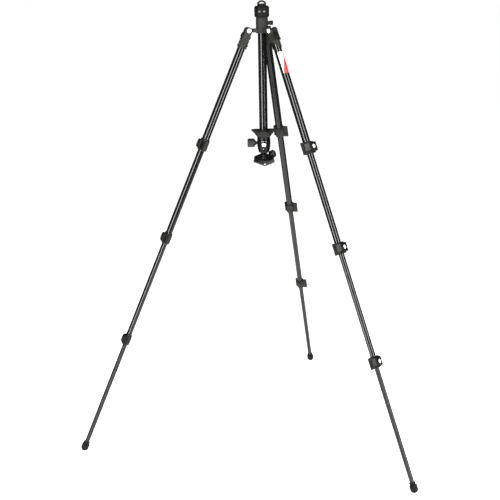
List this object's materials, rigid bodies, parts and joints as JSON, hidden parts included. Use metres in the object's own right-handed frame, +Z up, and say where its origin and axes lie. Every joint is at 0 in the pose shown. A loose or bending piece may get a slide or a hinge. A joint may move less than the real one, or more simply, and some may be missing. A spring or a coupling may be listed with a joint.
{
  "type": "camera tripod with ball head",
  "caption": "Black folding travel tripod, legs fully open, with flip-lever leg locks and the centre column inverted so a ball head hangs beneath.",
  "frame": {"origin": "centre of the bottom face of the bounding box, on the floor", "axes": "+Z up along the centre column; +Y towards the rear leg (leg C); +X to the right of it"},
  "size_m": [1.046, 0.909, 1.3467],
  "materials": {
    "casting_grey": "satin",
    "rubber": "matte",
    "plastic": "matte",
    "black_tube": "gloss",
    "head_black": "satin",
    "silver": "polished",
    "steel": "satin"
  },
  "bodies": {
    "shoulder": {"spider": "casting_grey", "column_housing": "casting_grey", "leg_a_pivot_bolt": "silver", "leg_b_pivot_bolt": "silver", "leg_c_pivot_bolt": "silver"},
    "twist_collar": {"twist_collar": "rubber"},
    "side_knob": {"side_knob": "plastic"},
    "column": {"column_tube": "black_tube", "column_end_cap": "plastic", "platform": "casting_grey", "head_pan_base": "head_black"},
    "hook": {"hook_ring": "plastic"},
    "head_housing": {"head_ball_housing": "head_black"},
    "main_knob": {"head_main_knob": "rubber"},
    "pan_knob": {"head_pan_knob": "silver"},
    "ball": {"head_ball_stem": "silver"},
    "clamp": {"clamp_body": "head_black"},
    "jaw": {"clamp_jaw": "head_black"},
    "clamp_knob": {"clamp_knob": "rubber"},
    "plate": {"quick_release_plate": "head_black"},
    "camera_screw": {"camera_screw": "steel"},
    "leg_a_upper": {"leg_a_casting": "casting_grey", "leg_a_tube_1": "black_tube", "leg_a_lock_1_collar": "casting_grey"},
    "leg_a_second": {"leg_a_tube_2": "black_tube", "leg_a_lock_2_collar": "casting_grey"},
    "leg_a_third": {"leg_a_tube_3": "black_tube", "leg_a_lock_3_collar": "casting_grey"},
    "leg_a_lower": {"leg_a_tube_4": "black_tube", "leg_a_foot": "rubber"},
    "leg_a_stop": {"leg_a_stop_tab": "plastic"},
    "leg_a_lever_1": {"leg_a_lock_1_lever": "plastic"},
    "leg_a_lever_2": {"leg_a_lock_2_lever": "plastic"},
    "leg_a_lever_3": {"leg_a_lock_3_lever": "plastic"},
    "leg_b_upper": {"leg_b_casting": "casting_grey", "leg_b_tube_1": "black_tube", "leg_b_lock_1_collar": "casting_grey"},
    "leg_b_second": {"leg_b_tube_2": "black_tube", "leg_b_lock_2_collar": "casting_grey"},
    "leg_b_third": {"leg_b_tube_3": "black_tube", "leg_b_lock_3_collar": "casting_grey"},
    "leg_b_lower": {"leg_b_tube_4": "black_tube", "leg_b_foot": "rubber"},
    "leg_b_stop": {"leg_b_stop_tab": "plastic"},
    "leg_b_lever_1": {"leg_b_lock_1_lever": "plastic"},
    "leg_b_lever_2": {"leg_b_lock_2_lever": "plastic"},
    "leg_b_lever_3": {"leg_b_lock_3_lever": "plastic"},
    "leg_c_upper": {"leg_c_casting": "casting_grey", "leg_c_tube_1": "black_tube", "leg_c_lock_1_collar": "casting_grey"},
    "leg_c_second": {"leg_c_tube_2": "black_tube", "leg_c_lock_2_collar": "casting_grey"},
    "leg_c_third": {"leg_c_tube_3": "black_tube", "leg_c_lock_3_collar": "casting_grey"},
    "leg_c_lower": {"leg_c_tube_4": "black_tube", "leg_c_foot": "rubber"},
    "leg_c_stop": {"leg_c_stop_tab": "plastic"},
    "leg_c_lever_1": {"leg_c_lock_1_lever": "plastic"},
    "leg_c_lever_2": {"leg_c_lock_2_lever": "plastic"},
    "leg_c_lever_3": {"leg_c_lock_3_lever": "plastic"}
  },
  "joints": [
    {"name": "collar_twist", "type": "hinge", "parent": "shoulder", "child": "twist_collar", "pos_m": [0, -0.14785, 1.316], "axis": [0, 0, 1], "range_deg": [0, 90]},
    {"name": "side_knob_turn", "type": "hinge", "parent": "shoulder", "child": "side_knob", "pos_m": [0.02425, -0.13385, 1.283], "axis": [0.866, 0.5, 0], "range_deg": [0, 720]},
    {"name": "column_slide", "type": "slide", "parent": "shoulder", "child": "column", "axis": [0, 0, 1], "range_m": [0, 0.252]},
    {"name": "hook_swivel", "type": "hinge", "parent": "column", "child": "hook", "pos_m": [0, -0.14785, 1.335], "axis": [0, 0, 1], "continuous": true},
    {"name": "head_pan", "type": "hinge", "parent": "column", "child": "head_housing", "pos_m": [0, -0.14785, 0.933], "axis": [0, 0, 1], "continuous": true},
    {"name": "main_knob_turn", "type": "hinge", "parent": "head_housing", "child": "main_knob", "pos_m": [-0.03347, -0.15809, 0.9335], "axis": [-0.9563, -0.2924, 0], "range_deg": [0, 540]},
    {"name": "pan_knob_turn", "type": "hinge", "parent": "head_housing", "child": "pan_knob", "pos_m": [0.00585, -0.16698, 0.93], "axis": [0.2924, -0.9563, 0], "range_deg": [0, 360]},
    {"name": "ball_tilt", "type": "hinge", "parent": "head_housing", "child": "ball", "pos_m": [0, -0.14785, 0.913], "axis": [0.9563, 0.2924, 0], "range_deg": [-35, 48]},
    {"name": "ball_spin", "type": "hinge", "parent": "ball", "child": "clamp", "pos_m": [-0.00122, -0.14388, 0.89344], "axis": [0.0608, -0.1988, 0.9781], "continuous": true},
    {"name": "clamp_knob_turn", "type": "hinge", "parent": "clamp", "child": "clamp_knob", "pos_m": [0.01261, -0.11656, 0.89159], "axis": [0.474, 0.8682, 0.147], "range_deg": [0, 864]},
    {"name": "jaw_slide", "type": "slide", "parent": "clamp", "child": "jaw", "axis": [0.474, 0.8682, 0.147], "range_m": [0, 0.0031]},
    {"name": "plate_slide", "type": "slide", "parent": "clamp", "child": "plate", "axis": [-0.8784, 0.4547, 0.147], "range_m": [-0.012, 0.012]},
    {"name": "camera_screw_turn", "type": "hinge", "parent": "plate", "child": "camera_screw", "pos_m": [-0.00243, -0.1399, 0.87387], "axis": [-0.0608, 0.1988, -0.9781], "continuous": true},
    {"name": "leg_a_spread", "type": "hinge", "parent": "shoulder", "child": "leg_a_upper", "pos_m": [-0.03577, -0.1685, 1.263], "axis": [-0.5, 0.866, 0], "range_deg": [-19, 156]},
    {"name": "leg_a_stop_slide", "type": "slide", "parent": "leg_a_upper", "child": "leg_a_stop", "axis": [-0.3478, -0.2008, -0.9158], "range_m": [0, 0.0035]},
    {"name": "leg_a_slide_2", "type": "slide", "parent": "leg_a_upper", "child": "leg_a_second", "axis": [0.3478, 0.2008, 0.9158], "range_m": [0, 0.258]},
    {"name": "leg_a_slide_3", "type": "slide", "parent": "leg_a_second", "child": "leg_a_third", "axis": [0.3478, 0.2008, 0.9158], "range_m": [0, 0.297]},
    {"name": "leg_a_slide_4", "type": "slide", "parent": "leg_a_third", "child": "leg_a_lower", "axis": [0.3478, 0.2008, 0.9158], "range_m": [0, 0.334]},
    {"name": "leg_a_lever_1_flip", "type": "hinge", "parent": "leg_a_upper", "child": "leg_a_lever_1", "pos_m": [-0.15354, -0.25659, 0.93995], "axis": [0.3478, 0.2008, 0.9158], "range_deg": [0, 110]},
    {"name": "leg_a_lever_2_flip", "type": "hinge", "parent": "leg_a_second", "child": "leg_a_lever_2", "pos_m": [-0.25898, -0.31568, 0.66439], "axis": [0.3478, 0.2008, 0.9158], "range_deg": [0, 110]},
    {"name": "leg_a_lever_3_flip", "type": "hinge", "parent": "leg_a_third", "child": "leg_a_lever_3", "pos_m": [-0.37765, -0.38235, 0.35402], "axis": [0.3478, 0.2008, 0.9158], "range_deg": [0, 110]},
    {"name": "leg_b_spread", "type": "hinge", "parent": "shoulder", "child": "leg_b_upper", "pos_m": [0.03577, -0.1685, 1.263], "axis": [-0.5, -0.866, 0], "range_deg": [-19, 156]},
    {"name": "leg_b_stop_slide", "type": "slide", "parent": "leg_b_upper", "child": "leg_b_stop", "axis": [0.3478, -0.2008, -0.9158], "range_m": [0, 0.0035]},
    {"name": "leg_b_slide_2", "type": "slide", "parent": "leg_b_upper", "child": "leg_b_second", "axis": [-0.3478, 0.2008, 0.9158], "range_m": [0, 0.258]},
    {"name": "leg_b_slide_3", "type": "slide", "parent": "leg_b_second", "child": "leg_b_third", "axis": [-0.3478, 0.2008, 0.9158], "range_m": [0, 0.297]},
    {"name": "leg_b_slide_4", "type": "slide", "parent": "leg_b_third", "child": "leg_b_lower", "axis": [-0.3478, 0.2008, 0.9158], "range_m": [0, 0.334]},
    {"name": "leg_b_lever_1_flip", "type": "hinge", "parent": "leg_b_upper", "child": "leg_b_lever_1", "pos_m": [0.17094, -0.22645, 0.93995], "axis": [-0.3478, 0.2008, 0.9158], "range_deg": [0, 110]},
    {"name": "leg_b_lever_2_flip", "type": "hinge", "parent": "leg_b_second", "child": "leg_b_lever_2", "pos_m": [0.27483, -0.28822, 0.66439], "axis": [-0.3478, 0.2008, 0.9158], "range_deg": [0, 110]},
    {"name": "leg_b_lever_3_flip", "type": "hinge", "parent": "leg_b_third", "child": "leg_b_lever_3", "pos_m": [0.3919, -0.35766, 0.35402], "axis": [-0.3478, 0.2008, 0.9158], "range_deg": [0, 110]},
    {"name": "leg_c_spread", "type": "hinge", "parent": "shoulder", "child": "leg_c_upper", "pos_m": [0, -0.10655, 1.263], "axis": [1, 0, 0], "range_deg": [-19, 156]},
    {"name": "leg_c_stop_slide", "type": "slide", "parent": "leg_c_upper", "child": "leg_c_stop", "axis": [0, 0.4016, -0.9158], "range_m": [0, 0.0035]},
    {"name": "leg_c_slide_2", "type": "slide", "parent": "leg_c_upper", "child": "leg_c_second", "axis": [0, -0.4016, 0.9158], "range_m": [0, 0.258]},
    {"name": "leg_c_slide_3", "type": "slide", "parent": "leg_c_second", "child": "leg_c_third", "axis": [0, -0.4016, 0.9158], "range_m": [0, 0.297]},
    {"name": "leg_c_slide_4", "type": "slide", "parent": "leg_c_third", "child": "leg_c_lower", "axis": [0, -0.4016, 0.9158], "range_m": [0, 0.334]},
    {"name": "leg_c_lever_1_flip", "type": "hinge", "parent": "leg_c_upper", "child": "leg_c_lever_1", "pos_m": [-0.0174, 0.03949, 0.93995], "axis": [0, -0.4016, 0.9158], "range_deg": [0, 110]},
    {"name": "leg_c_lever_2_flip", "type": "hinge", "parent": "leg_c_second", "child": "leg_c_lever_2", "pos_m": [-0.01585, 0.16034, 0.66439], "axis": [0, -0.4016, 0.9158], "range_deg": [0, 110]},
    {"name": "leg_c_lever_3_flip", "type": "hinge", "parent": "leg_c_third", "child": "leg_c_lever_3", "pos_m": [-0.01425, 0.29645, 0.35402], "axis": [0, -0.4016, 0.9158], "range_deg": [0, 110]}
  ],
  "couplings": [
    {"joint": "jaw_slide", "follows": "clamp_knob_turn", "m_per_rad": 0.00019894}
  ]
}
